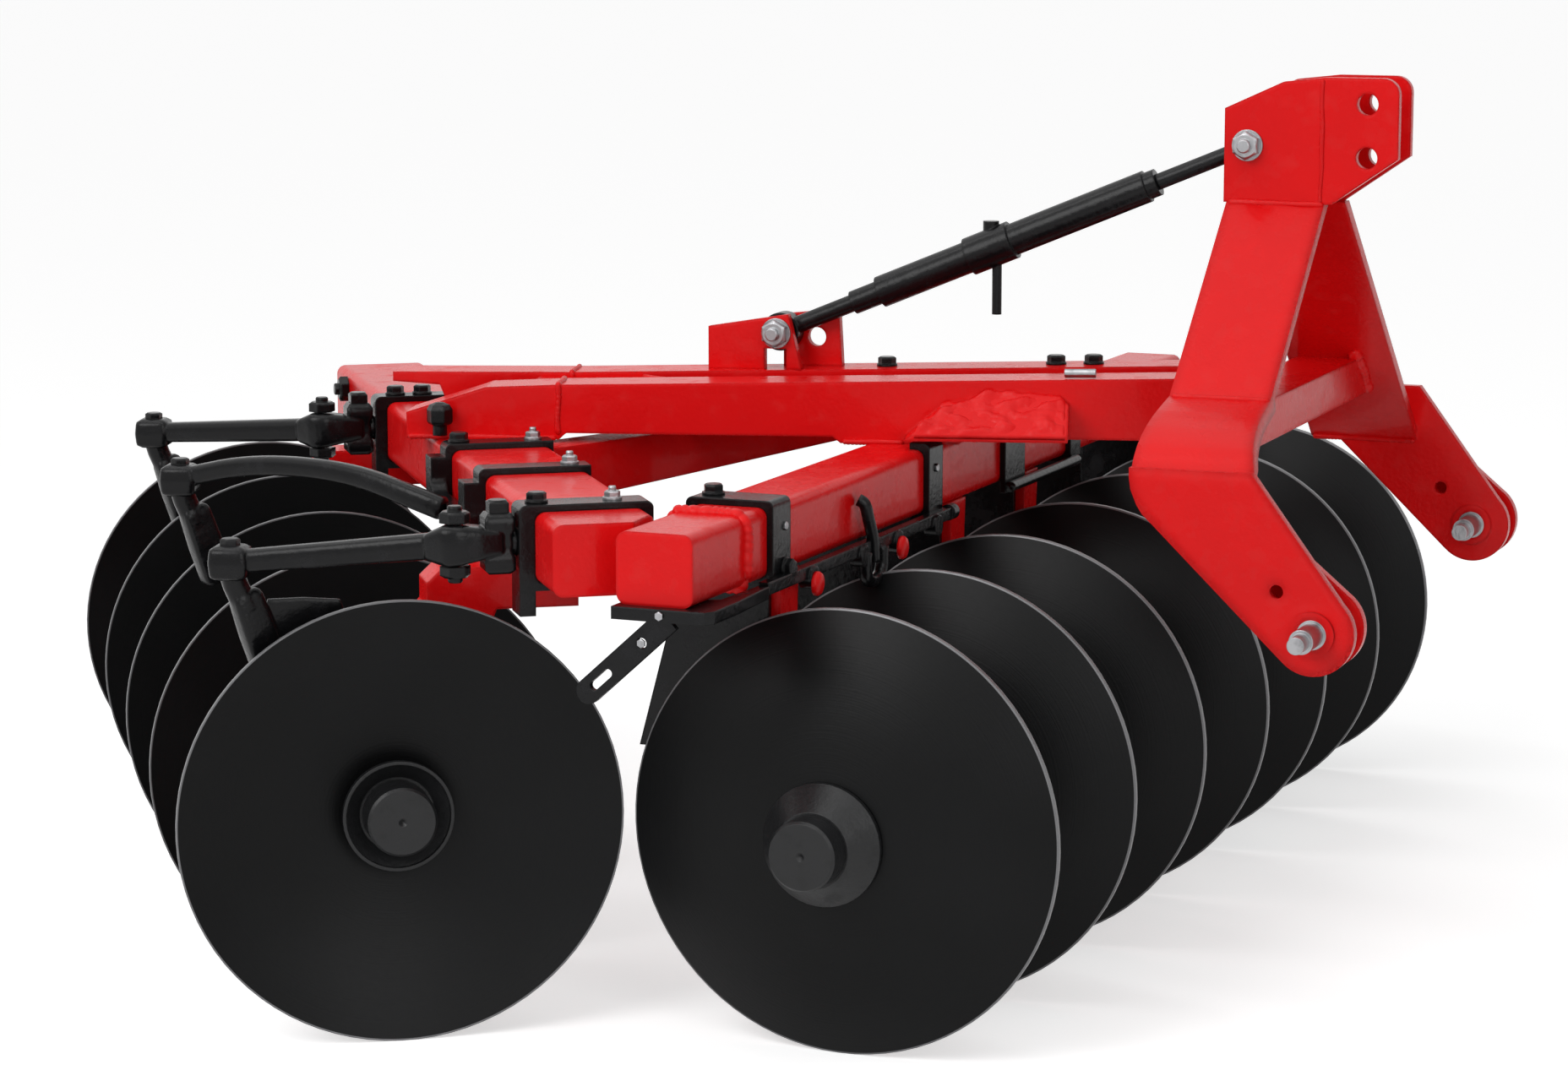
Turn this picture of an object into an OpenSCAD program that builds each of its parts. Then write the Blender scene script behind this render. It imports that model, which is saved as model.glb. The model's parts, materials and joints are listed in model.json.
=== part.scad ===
// Offset disc harrow for a three-point hitch. Millimetres, +X forward, +Y left, +Z up.

/* [Discs] */
// Disc diameter
disc_d = 510; // [460:1:560]
// Disc plate thickness
disc_t = 6; // [4:0.5:8]
// Depth of the dish
dish_depth = 60; // [50:1:75]
// Radius of the flat seat in the middle of a disc
seat_r = 60; // [55:1:70]

/* [Gangs] */
// Distance from disc to disc on the front gang
front_pitch = 274; // [250:1:300]
// Distance from disc to disc on the rear gang
rear_pitch = 326; // [316:1:340]
// Turn of the front gang from the cross direction
front_angle = 1.2; // [0:0.1:2]
// Turn of the rear gang from the cross direction
rear_angle = 35; // [33:0.5:37]
// Side of the square axle bar
axle_side = 32; // [28:1:36]
// Radius of the round journal that runs in a bearing
journal_r = 40; // [36:1:44]
// Radial clearance of the journals
bearing_clear = 0.05; // [0.02:0.01:0.1]
// Outer radius of a bearing housing
housing_r = 60; // [55:1:66]

/* [Frame] */
// Gap between the disc tops and the underside of the beams
beam_clear = 30; // [28:1:60]
// Height of the beam section
beam_h = 80; // [70:1:84]
// Width of the front beam
front_beam_w = 90; // [80:1:96]
// Width of the rear beam
rear_beam_w = 126; // [116:1:134]
// Length of the front beam to the right of its gang's middle
front_beam_near = 1042; // [980:1:1100]
// Length of the front beam to the left of its gang's middle
front_beam_far = 700; // [660:1:760]
// Length of the rear beam to the right of its gang's middle
rear_beam_near = 849; // [820:1:900]
// Length of the rear beam to the left of its gang's middle
rear_beam_far = 620; // [580:1:680]
// Width of a rail
rail_w = 66; // [56:1:72]
// Height of the rails' front ends above the beams
rail_h = 86; // [78:1:92]
// Distance between the right faces of the two rails
rail_pitch = 127; // [120:1:140]
// Turn of the rails from straight ahead
rail_yaw = 16; // [14:0.5:18]

/* [Hitch] */
// Height of the beam tops above the lower hitch pins
pin_drop = 148; // [130:1:160]
// Distance between the middles of the lower hitch forks
pin_span = 834; // [820:1:850]
// Radius of a lower hitch pin
pin_r = 14; // [11:0.5:16]
// Free length of a lower hitch pin
pin_free = 74; // [60:1:90]
// Height of the mast head above the beams
mast_h = 300; // [285:1:320]
// Radius of the top link holes
link_r = 13; // [10:0.5:16]
// Distance between the two top link holes
link_pitch = 64; // [58:1:70]
// Clear width between the two mast plates
mast_gap = 52; // [48:1:60]
// Thickness of the legs and fork plates
plate_t = 14; // [12:1:16]

/* [Top brace] */
// Radius of the brace barrel
barrel_r = 20; // [17:0.5:23]
// Radius of the brace rods
rod_r = 11; // [9:0.5:13]
// Radius of the brace bolts
bolt_r = 10; // [8:0.5:12]

/* [Hidden] */
$fn = 72;
disc_r = disc_d / 2;
dish_r = (disc_r * disc_r + dish_depth * dish_depth) / (2 * dish_depth);
seat_y = dish_depth - dish_r + sqrt(dish_r * dish_r - seat_r * seat_r);
axle_gap = 0.5;
front_n = 7;
rear_n = 5;
front_x = 76;
front_y = 852;
rear_x = -800;
rear_y = 436;
front_beam_x = -130;
rear_beam_x = 181;
rear_beam_turn = 1.46;
beam_z = disc_d + beam_clear;
beam_top = beam_z + beam_h;
beam_corner = 12;
strap_corner = beam_corner - 2;
front_flank = front_beam_x + front_beam_w / 2;
rear_flank = rear_beam_x - rear_beam_w / 2;
mast_y = 697;
origin_x = -401.43;
origin_y = 721.74;

// Rails: right face of the right rail at the cross tube, and outline along the rail.
rail_front_y = 657.7;
rail_top = beam_top + rail_h;
rail_slope = 0.0214;
rail_lift = 8;
rail_back = 1020;
rail_tongue = 1060;
rear_foot = 830;
front_foot_0 = 480;
front_foot_1 = 335;
pad_w = 60;

// Hitch frame.
fork_pitch = 47;
fork_y = (pin_span - fork_pitch - plate_t) / 2;
arm_y = fork_y + fork_pitch;
pin_x = 532;
pin_z = beam_top - pin_drop;
eye_r = 48;
leg_x0 = 316;
leg_x1 = 437;
leg_flare = 22;
knee_y = 273;
knee_z = beam_top + 92;
flare_z = beam_top - 10;
cross_x0 = 330;
cross_x1 = 410;
cross_z0 = beam_top + 30;
head_x0 = 312;
head_z0 = beam_top + mast_h;
head_t = 12;
link_x = head_x0 + 175;
link_z0 = head_z0 + 57;
link_z1 = link_z0 + link_pitch;
mast_pin_x = head_x0 + 29;
mast_pin_z = head_z0 + 69;

// Top brace.
bracket_pin_x = -258;
bracket_pin_y = 655;
bracket_pin_z = beam_top + 120;
bracket_half = 22;
bracket_t = 12;
brace_dx = mast_pin_x - bracket_pin_x;
brace_dz = mast_pin_z - bracket_pin_z;
brace_dy = mast_y - bracket_pin_y;
brace_len = norm([brace_dx, brace_dy, brace_dz]);
brace_angle = atan2(brace_dz, norm([brace_dx, brace_dy]));
brace_turn = atan2(brace_dy, brace_dx);
eye_w = 26;
brace_eye_r = 24;

// Straps round the beams: place along the beam and width.
strap_t = 8;
strap_back = 8;
strap_hang = 28;
front_strap = [[-814, 50], [207, 40]];
hook_y = -325;
hook_w = 46;
hook_top = 18;
drop_y0 = -72;
drop_y1 = 2;
heel_t = 10;
rear_strap = [[-735, 44, heel_t], [220, 36, strap_back]];
loop_y0 = -455;
loop_y1 = -242;
loop_w = 36;
loop_t = 18;
loop_foot = 26;

// Scraper bar under the front beam and scrapers behind the front discs.
bar_x0 = front_flank + strap_t;
bar_w = 12;
bar_h = 14;
bar_z0 = beam_z - 10;
bar_near = 880;
bar_far = 300;
lug_y = [-753, -598, -486, -355];
lug_r = 13;
scraper_gap = 24;
scraper_t = 8;

// Hangers and bearings.
front_hanger_shift = -24;
rear_hanger_shift = -78;
front_hung = [0, 2, 3, 5];
rear_hung = [0, 3];
front_hanger_w = 50;
rear_hanger_w = 60;
bearing_w = 72;

// Rear scrapers: place along the beam, distance of the root behind the flank, root height, head of the arm.
arm_heads = [
  [rear_strap[0][0], strap_t + heel_t, beam_z + 45, -198, -600, beam_z + 13],
  [(loop_y0 + loop_y1) / 2, strap_t + loop_t, beam_z + 26, -191, -90, beam_z + 32],
  [rear_strap[1][0], strap_t + strap_back, beam_z + 45, -168, 385, beam_z + 26]
];
arm_root = 68;
arm_w = 28;
head_len = 48;
head_w = 40;
head_h = 36;
neck_r = 13;
neck_h = 22;
shank_w = 40;
shank_t = 16;
shank_drop = 112;
shank_lean = 45;

// Axle ends.
cone_r = 70;
cone_h = 36;
nut_r = 40;
nut_h = 33;
flange_r = 64;
flange_h = 14;
cap_h = 46;

red = [0.80, 0.06, 0.06];
black = [0.07, 0.07, 0.07];
steel = [0.55, 0.56, 0.58];

function front_at(x, y) = [
  front_x + x * cos(front_angle) + y * sin(front_angle),
  front_y - x * sin(front_angle) + y * cos(front_angle)
];
function rear_at(x, y) = [
  rear_x + x * cos(rear_angle) - y * sin(rear_angle),
  rear_y + x * sin(rear_angle) + y * cos(rear_angle)
];
function beam_at(x, y) = rear_at(
  rear_beam_x + x * cos(rear_beam_turn) - y * sin(rear_beam_turn),
  x * sin(rear_beam_turn) + y * cos(rear_beam_turn)
);
function front_disc_y(k) = (k - (front_n - 1) / 2) * front_pitch;
function rear_disc_y(k) = (k - (rear_n - 1) / 2) * rear_pitch;
function front_hanger_y(k) = front_spool_y(k) + (front_pitch - disc_t) / 2 + front_hanger_shift;
function rear_hanger_y(k) = rear_spool_y(k) + (rear_pitch - disc_t) / 2 + rear_hanger_shift;
function front_spool_y(k) = front_disc_y(k) - seat_y + disc_t;
function rear_spool_y(k) = rear_disc_y(k) + seat_y;
front_spool_len = front_pitch - disc_t;
rear_spool_len = rear_pitch - disc_t;

// Places children in the part's own frame, with the origin under the middle of its box.
module machine() {
  translate([-origin_x, -origin_y, 0]) children();
}

// Places children beside the front gang, with its axle along Y.
module front_frame() {
  machine() translate([front_x, front_y, 0]) rotate([0, 0, -front_angle]) children();
}

// Places children beside the rear gang, with its axle along Y.
module rear_frame() {
  machine() translate([rear_x, rear_y, 0]) rotate([0, 0, rear_angle]) children();
}

// Places children along the rear beam, which is turned a little from its gang.
module beam_frame() {
  rear_frame() translate([rear_beam_x, 0, 0]) rotate([0, 0, rear_beam_turn]) translate([-rear_beam_x, 0, 0])
    children();
}

// Places children along the rails, from the cross tube backwards, right face of the right rail at y = 0.
module rail_frame() {
  machine() translate([cross_x0, rail_front_y, 0]) rotate([0, 0, rail_yaw]) children();
}

// Mirrors children from the right side of the mast to its left side.
module left_side() {
  translate([0, 2 * mast_y, 0]) mirror([0, 1, 0]) children();
}

// A solid of an outline in the X-Z plane, from y0 to y1.
module xz_plate(y0, y1) {
  translate([0, y1, 0]) rotate([90, 0, 0]) linear_extrude(y1 - y0) children();
}

// A cylinder along Y from y0 to y1.
module y_rod(r, y0, y1) {
  translate([0, y0, 0]) rotate([-90, 0, 0]) cylinder(r = r, h = y1 - y0);
}

// A solid of revolution about Y, its profile given as [radius, y].
module y_turned(profile) {
  rotate([-90, 0, 0]) rotate_extrude() polygon(profile);
}

// A rectangle with rounded corners, centred.
module round_rect(w, h, r) {
  square([w - 2 * r, h], center = true);
  square([w, h - 2 * r], center = true);
  for (i = [-1, 1], j = [-1, 1]) translate([i * (w / 2 - r), j * (h / 2 - r)]) circle(r = r);
}

// One dished disc: rim in the plane y = 0, dish towards -Y, flat seat and square hole.
module dished_disc() {
  difference() {
    union() {
      intersection() {
        translate([0, dish_r - dish_depth, 0]) difference() {
          sphere(r = dish_r, $fn = 180);
          sphere(r = dish_r - disc_t, $fn = 180);
        }
        difference() {
          y_rod(disc_r, -dish_depth - 1, disc_t, $fn = 120);
          y_rod(seat_r, -dish_depth - 2, disc_t + 1);
        }
      }
      y_rod(seat_r + 6, -seat_y, disc_t - seat_y);
    }
    axle_hole(-dish_depth - 2, disc_t + 1);
  }
}

module axle_hole(y0, y1) {
  s = axle_side + 2 * axle_gap;
  translate([-s / 2, y0, -s / 2]) cube([s, y1 - y0, s]);
}

// One spool from y = 0 to y = len, flared at both ends, with a round journal in the middle.
module spool(len) {
  difference() {
    y_turned([[0, 0], [seat_r, 0], [seat_r, 12], [journal_r, 40], [journal_r, len - 40],
      [seat_r, len - 12], [seat_r, len], [0, len]]);
    axle_hole(-1, len + 1);
  }
}

module front_beam() {
  color(red) front_frame() translate([front_beam_x, -front_beam_near, beam_z + beam_h / 2])
    rotate([-90, 0, 0]) linear_extrude(front_beam_near + front_beam_far)
      round_rect(front_beam_w, beam_h, beam_corner);
}

// Rear beam, its right end cut askew.
module rear_beam() {
  w = rear_beam_w / 2;
  color(red) beam_frame() intersection() {
    translate([rear_beam_x, -rear_beam_near, beam_z + beam_h / 2]) rotate([-90, 0, 0])
      linear_extrude(rear_beam_near + rear_beam_far) round_rect(rear_beam_w, beam_h, beam_corner);
    translate([rear_beam_x, 0, beam_z - 1]) linear_extrude(beam_h + 2)
      polygon([[-w - 1, -rear_beam_near], [w - 36, -rear_beam_near], [w + 1, 59 - rear_beam_near],
        [w + 1, rear_beam_far],
        [-w - 1, rear_beam_far]]);
  }
}

function rail_z(x) = rail_top + rail_slope * x;

// Outline of a rail seen from the side, with a foot on each beam, up to its rear part.
module rail_side() {
  polygon([[-rear_foot, beam_top], [-rear_foot + 10, beam_top + rail_lift],
    [-front_foot_0 - 10, beam_top + rail_lift], [-front_foot_0, beam_top], [-front_foot_1, beam_top],
    [-front_foot_1 + 10, beam_top + rail_lift], [rail_w, beam_top + rail_lift], [rail_w, rail_z(rail_w)],
    [-rear_foot, rail_z(-rear_foot)]]);
}

// Keeps what lies behind the cross tube.
module behind_cross_tube() {
  intersection() {
    children();
    machine() translate([cross_x0 - 2000, 0, 0]) cube([2000, 2000, 2000]);
  }
}

// Right rail with its sloping rear end, the web to the left rail and a wedge over the front beam.
module right_rail() {
  z0 = beam_top;
  color(red) behind_cross_tube() rail_frame() {
    xz_plate(0, rail_w) {
      rail_side();
      polygon([[-rail_back, z0], [1 - rear_foot, z0], [1 - rear_foot, rail_z(-rear_foot)],
        [-rear_foot - 90, rail_z(-rear_foot) - 4], [-rail_back, z0 + 32]]);
    }
    translate([0, 0, rail_z(-rear_foot) - 16]) linear_extrude(10)
      polygon([[-rear_foot - 40, rail_w - 1], [-rear_foot + 150, rail_w - 1],
        [-rear_foot + 90, rail_pitch], [-rear_foot - 40, rail_pitch]]);
    intersection() {
      xz_plate(-pad_w, 1) polygon([[-399, z0 + 12], [-354, z0 + 48], [-289, z0 + 66], [-212, z0 + 62],
        [-200, z0 + 52], [-200, z0 + 12]]);
      translate([-rear_foot, 0, z0]) rotate([90, 0, 90]) linear_extrude(rear_foot)
        polygon([[-pad_w, 0], [2, 0], [2, 72], [-pad_w, 20]]);
    }
  }
}

// Left rail with a flat tongue at its rear end.
module left_rail() {
  color(red) behind_cross_tube() rail_frame() xz_plate(rail_pitch, rail_pitch + rail_w) {
    rail_side();
    polygon([[40 - rail_back, beam_top], [1 - rear_foot, beam_top], [1 - rear_foot, rail_z(-rear_foot)],
      [-rail_tongue, rail_z(-rear_foot) - 2], [-rail_tongue, rail_z(-rear_foot) - 14],
      [20 - rail_back, rail_z(-rear_foot) - 18]]);
  }
}

// Plan points of the strut where it meets the two beams.
strut_plan = [
  beam_at(rear_beam_w / 2, -250),
  beam_at(rear_beam_w / 2, -184),
  front_at(front_beam_x - front_beam_w / 2, 510),
  front_at(front_beam_x - front_beam_w / 2, 440)
];

// Strut between the beams, its lower edge rising towards the front beam.
module brace_tube() {
  color(red) machine() intersection() {
    translate([0, 0, beam_z]) linear_extrude(beam_h - 4) polygon(strut_plan);
    translate([-1000, 0, 0]) rotate([90, 0, 90]) linear_extrude(2000)
      polygon([[0, beam_z - 13], [1500, beam_z + 67], [1500, beam_top], [0, beam_top]]);
  }
}

// Mast head plate seen from the side.
module head_side() {
  difference() {
    translate([head_x0, head_z0]) {
      polygon([[0, 0], [132, 0], [213, 56], [213, 132], [193, 152], [124, 152], [72, 146], [0, 113]]);
      translate([193, 132]) circle(r = 20);
    }
    for (z = [link_z0, link_z1]) translate([link_x, z]) circle(r = link_r);
    translate([mast_pin_x, mast_pin_z]) circle(r = bolt_r);
  }
}

module right_mast_plate() {
  y1 = mast_y - mast_gap / 2;
  color(red) machine() xz_plate(y1 - head_t, y1) head_side();
}

module left_mast_plate() {
  y1 = mast_y - mast_gap / 2;
  color(red) machine() left_side() xz_plate(y1 - head_t, y1) head_side();
}

// Outer face of the bent leg in the Y-Z plane, from the mast head down to the fork plate.
head_y = mast_y - mast_gap / 2 - head_t;
out_y = mast_y - arm_y;
bend = [[mast_y - knee_y, knee_z], [out_y + 76, knee_z - 17], [out_y, knee_z - 32], [out_y, flare_z]];
function bend_at(t) =
  let (u = 1 - t)
  bend[0] * u * u * u + bend[1] * 3 * t * u * u + bend[2] * 3 * t * t * u + bend[3] * t * t * t;
leg_out = concat([[head_y - 2, head_z0]], [for (i = [0:10]) bend_at(i / 10)]);
function unit(v) = v / norm(v);
function side(a, b) = [-unit(b - a)[1], unit(b - a)[0]];
function inset(p, i) =
  let (a = side(p[i - 1], p[i]), b = side(p[i], p[i + 1])) p[i] + plate_t * (a + b) / (1 + a * b);
leg_last = len(leg_out) - 1;
leg_fall = (head_z0 - knee_z) / (head_y - 2 - mast_y + knee_y);
leg_skin = plate_t * sqrt(1 + leg_fall * leg_fall) / leg_fall;
left_out = 2 * mast_y - out_y - pin_span;
function straight_z(y) = head_z0 - leg_fall * (head_y - 2 - y);
function straight_in(z) = 2 * mast_y - head_y + 2 - leg_skin + (head_z0 - z) / leg_fall;
leg_in = concat(
  [[leg_out[0][0] + plate_t / abs(side(leg_out[0], leg_out[1])[0]), head_z0]],
  [for (i = [1:leg_last - 1]) inset(leg_out, i)],
  [[out_y + plate_t, flare_z]]
);

// Outer fork plate seen from the side.
module fork_side() {
  difference() {
    union() {
      polygon([[leg_x0, cross_z0], [leg_x1 + leg_flare, cross_z0], [pin_x + 34, pin_z + 34],
        [pin_x - 34, pin_z - 34], [leg_x0 + 29, pin_z + 113], [leg_x0 + 16, pin_z + 125],
        [leg_x0 + 9, pin_z + 136], [leg_x0 + 2, pin_z + 153], [leg_x0, pin_z + 168]]);
      translate([pin_x, pin_z]) circle(r = eye_r);
    }
    translate([pin_x, pin_z]) circle(r = pin_r + 3);
    translate([pin_x - 42, pin_z + 46]) circle(r = 8);
  }
}

// Inner fork plate seen from the side.
module inner_fork_side() {
  difference() {
    union() {
      polygon([[leg_x1 + leg_flare, pin_z + 124], [pin_x + 34, pin_z + 34], [pin_x - 34, pin_z - 34],
        [400, pin_z + 78]]);
      translate([pin_x, pin_z]) circle(r = eye_r);
    }
    translate([pin_x, pin_z]) circle(r = pin_r + 3);
  }
}

// Bent leg: sloping upper part, outward bend that widens forward, fork plate and its boss.
module leg() {
  wide = leg_x1 + leg_flare;
  intersection() {
    translate([leg_x0, 0, 0]) rotate([90, 0, 90]) linear_extrude(wide - leg_x0)
      polygon(concat(leg_out, [for (i = [leg_last:-1:0]) leg_in[i]]));
    xz_plate(out_y - 1, mast_y) polygon([[leg_x0 + 9, flare_z - 2], [wide, flare_z - 2], [wide, cross_z0],
      [leg_x1, knee_z], [leg_x1, head_z0 + 1], [leg_x0, head_z0 + 1], [leg_x0, flare_z + 30],
      [leg_x0 + 2, flare_z + 15]]);
  }
  xz_plate(out_y, out_y + plate_t) fork_side();
  fork_boss();
}

// Ring round the hitch pin on the outer face of the fork plate.
module fork_boss() {
  translate([pin_x, 0, pin_z]) difference() {
    y_rod(pin_r + 12, out_y - 4, out_y + 1);
    y_rod(pin_r + 3, out_y - 5, out_y + 2);
  }
}

module right_leg() {
  color(red) machine() leg();
}

// Straight leg that slopes down to the left fork plate, a copy of the right one.
module left_leg() {
  z1 = straight_z(left_out - 1);
  wide = leg_x1 + leg_flare;
  color(red) machine() {
    left_side() intersection() {
      translate([leg_x0, 0, 0]) rotate([90, 0, 90]) linear_extrude(wide - leg_x0)
        polygon([[head_y - 2, head_z0], [left_out - 1, z1], [left_out - 1, z1 - leg_skin * leg_fall],
          [head_y - 2 + leg_skin, head_z0]]);
      xz_plate(left_out - 2, mast_y) polygon([[leg_x0, flare_z - 60], [wide - 2, flare_z - 60],
        [leg_x1 + 11, head_z0 + 1], [leg_x0, head_z0 + 1]]);
    }
    translate([0, pin_span, 0]) {
      xz_plate(out_y, out_y + plate_t) fork_side();
      fork_boss();
    }
  }
}

// Cross tube whose ends fit against the inner faces of both legs.
module cross_tube() {
  gap = 0.05;
  half = [for (p = leg_in) if (p[1] >= cross_z0 && p[1] <= knee_z) p];
  z0 = half[len(half) - 1][1];
  z1 = half[0][1];
  color(red) machine() translate([cross_x0, 0, 0]) rotate([90, 0, 90]) linear_extrude(cross_x1 - cross_x0)
    polygon(concat(half, [[straight_in(z0) - gap, z0], [straight_in(z1) - gap, z1]]));
}

// Inner fork plate with the block that joins it to the outer one.
module fork() {
  y0 = out_y + fork_pitch;
  xz_plate(y0, y0 + plate_t) inner_fork_side();
  xz_plate(out_y + plate_t, y0 + 1)
    polygon([[leg_x1 + 17, pin_z + 124], [496, pin_z + 88], [445, pin_z + 38], [405, pin_z + 76]]);
}

module right_fork() {
  color(red) machine() fork();
}

module left_fork() {
  color(red) machine() translate([0, pin_span, 0]) fork();
}

module hitch_pin() {
  translate([pin_x, 0, pin_z]) {
    y_rod(pin_r + 3, out_y - 4, out_y + fork_pitch + plate_t + 8);
    y_rod(pin_r, out_y - pin_free + 24, out_y);
    y_rod(pin_r - 4, out_y - pin_free, out_y);
  }
}

module right_pin() {
  color(steel) machine() hitch_pin();
}

module left_pin() {
  color(steel) machine() translate([0, pin_span, 0]) hitch_pin();
}

// Places children at the bracket bolt, turned with the brace.
module bracket_frame() {
  machine() translate([bracket_pin_x, bracket_pin_y, bracket_pin_z]) rotate([0, 0, brace_turn]) children();
}

// Places children along the top brace, its length along X from the bracket bolt.
module brace_frame() {
  bracket_frame() rotate([0, -brace_angle, 0]) children();
}

// A cylinder along X from x0 to x1.
module x_rod(r, x0, x1) {
  translate([x0, 0, 0]) rotate([0, 90, 0]) cylinder(r = r, h = x1 - x0);
}

module brace_eye() {
  difference() {
    y_rod(brace_eye_r, -eye_w / 2, eye_w / 2);
    y_rod(bolt_r, -eye_w, eye_w);
  }
}

module brace_rear_rod() {
  color(black) {
    bracket_frame() brace_eye();
    brace_frame() x_rod(rod_r, 15, 0.155 * brace_len);
  }
}

// Barrel with a stepped rear end, a middle collar and a tommy bar.
module brace_barrel() {
  color(black) brace_frame() {
    x_rod(barrel_r - 5, 0.155 * brace_len, 0.216 * brace_len);
    x_rod(barrel_r, 0.214 * brace_len, 0.778 * brace_len);
    x_rod(barrel_r + 4, 0.405 * brace_len, 0.496 * brace_len);
    x_rod(barrel_r - 3, 0.775 * brace_len, 0.80 * brace_len);
    translate([0.45 * brace_len, 0, 0]) rotate([0, brace_angle, 0]) {
      translate([8, 0, -82]) cylinder(r = 6, h = 70);
      cylinder(r = 10, h = 34);
    }
  }
}

module brace_front_rod() {
  color(black) {
    machine() translate([mast_pin_x, mast_y, mast_pin_z]) brace_eye();
    brace_frame() x_rod(rod_r - 1, 0.80 * brace_len, brace_len - 15);
  }
}

// Two upright plates on the left rail, standing on its sloping top: the right one with a window.
module brace_bracket() {
  y0 = bracket_half - bracket_t / 2;
  color(red) difference() {
    bracket_frame() {
      xz_plate(-y0 - bracket_t, -y0) difference() {
        polygon([[-90, -60], [-90, 6], [15, 24], [36, -60]]);
        translate([-16, -47]) square([29, 27]);
        circle(r = bolt_r);
      }
      xz_plate(y0, y0 + bracket_t) difference() {
        polygon([[-4, -60], [-4, -24], [-20, -14], [-20, 18], [69, 28], [74, -60]]);
        circle(r = bolt_r);
        translate([40, -8]) circle(r = 12);
      }
    }
    rail_frame() xz_plate(rail_pitch - 100, rail_pitch + rail_w + 100)
      polygon([[-rear_foot, beam_z], [0, beam_z], [0, rail_top], [-rear_foot, rail_z(-rear_foot)]]);
  }
}

module bolt_y(half, head_r) {
  y_rod(bolt_r, -half - 6, half + 6);
  y_rod(head_r, -half - 16, -half);
  y_rod(head_r, half, half + 14);
}

module bracket_bolt() {
  color(steel) bracket_frame() bolt_y(bracket_half + bracket_t / 2, 16);
}

module mast_bolt() {
  color(steel) machine() translate([mast_pin_x, mast_y, mast_pin_z]) bolt_y(mast_gap / 2 + head_t, 16);
}

// A flat band of width w round a beam section, centred at y = 0, with a heavier plate on its rear side.
module strap(beam_w, w, back, hang) {
  h = beam_h / 2 + strap_t;
  rotate([90, 0, 0]) translate([0, 0, -w / 2]) linear_extrude(w) difference() {
    union() {
      round_rect(beam_w + 2 * strap_t, 2 * h, 8);
      translate([-beam_w / 2 - strap_t - back, -h - hang]) square([strap_t + back, 2 * h + hang - 8]);
      translate([8 - beam_w / 2 - strap_t - back, h - 16]) square([strap_t + back - 8, 16]);
      translate([8 - beam_w / 2 - strap_t - back, h - 8]) circle(r = 8);
    }
    round_rect(beam_w, beam_h, strap_corner);
  }
}

// Full strap at each end, a hook over the front edge and a hanging plate between them.
module front_straps() {
  x0 = front_flank;
  color(black) front_frame() {
    for (s = front_strap)
      translate([front_beam_x, s[0], beam_z + beam_h / 2]) strap(front_beam_w, s[1], 0, 0);
    translate([0, hook_y - hook_w / 2, 0]) rotate([90, 0, 0]) mirror([0, 0, 1]) linear_extrude(hook_w)
      difference() {
        union() {
          translate([x0 - hook_top, beam_z - strap_t]) square([hook_top, beam_h + 2 * strap_t]);
          translate([x0 - 1, beam_z - strap_t]) square([strap_t + 1, beam_h + strap_t]);
          translate([x0, beam_top]) circle(r = strap_t);
        }
        translate([front_beam_x, beam_z + beam_h / 2]) round_rect(front_beam_w, beam_h, strap_corner);
      }
    translate([x0, drop_y0, beam_z - 12]) cube([strap_t, drop_y1 - drop_y0, beam_h - 10]);
  }
}

// A strap at each end, and between them two straps whose rear legs join in a rounded foot.
module rear_straps() {
  z1 = beam_top - strap_t;
  mid = (loop_y0 + loop_y1) / 2;
  wide = loop_y1 - loop_y0 + loop_w;
  color(black) beam_frame() {
    for (s = rear_strap)
      translate([rear_beam_x, s[0], beam_z + beam_h / 2]) strap(rear_beam_w, s[1], s[2], strap_hang);
    for (y = [loop_y0, loop_y1]) difference() {
      translate([rear_beam_x, y, beam_z + beam_h / 2]) strap(rear_beam_w, loop_w, 0, 0);
      translate([rear_beam_x + rear_beam_w / 2, y - loop_w, beam_z - 20])
        cube([20, 2 * loop_w, beam_h + 40]);
    }
    translate([rear_flank - strap_t - loop_t, mid, 0]) rotate([90, 0, 90]) linear_extrude(loop_t + 1)
      difference() {
        translate([0, z1]) round_rect(wide, 2 * (z1 - beam_z) - 8, 34);
        translate([0, z1]) round_rect(wide - 2 * loop_w, 2 * (z1 - beam_z) - 8 - 2 * loop_foot, 20);
        translate([-wide, z1]) square([2 * wide, beam_h]);
      }
  }
}

// Hangers straight down from the underside of the front beam, then forward to the bearings.
module front_hangers() {
  w = front_hanger_w / 2;
  color(red) front_frame() for (k = front_hung) translate([0, front_hanger_y(k), 0]) difference() {
    xz_plate(-w, w) polygon([[front_beam_x - 38, beam_z], [front_flank - 3, beam_z],
      [front_flank - 6, beam_z - 100], [-36, disc_r + 90], [36, disc_r + 60], [36, disc_r], [-36, disc_r],
      [-110, disc_r + 70], [front_beam_x - 38, beam_z - 130]]);
    translate([0, 0, disc_r]) y_rod(housing_r, -w - 1, w + 1);
  }
}

// Box hangers under the rear beam with a free bevelled end, then down to the bearings.
module rear_hangers() {
  w = rear_hanger_w / 2;
  color(red) rear_frame() for (k = rear_hung) translate([0, rear_hanger_y(k), 0]) difference() {
    xz_plate(-w, w) polygon([[rear_beam_x + 45, beam_z], [rear_flank + 10, beam_z],
      [rear_flank + 10, beam_z - 16], [66, beam_z - 16], [49, beam_z - 32], [49, beam_z - 58],
      [20, beam_z - 90], [-36, disc_r + 60], [-36, disc_r], [36, disc_r], [70, disc_r + 80],
      [130, beam_z - 66], [rear_beam_x + 45, beam_z - 66]]);
    translate([0, 0, disc_r]) y_rod(housing_r, -w - 1, w + 1);
  }
}

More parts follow.
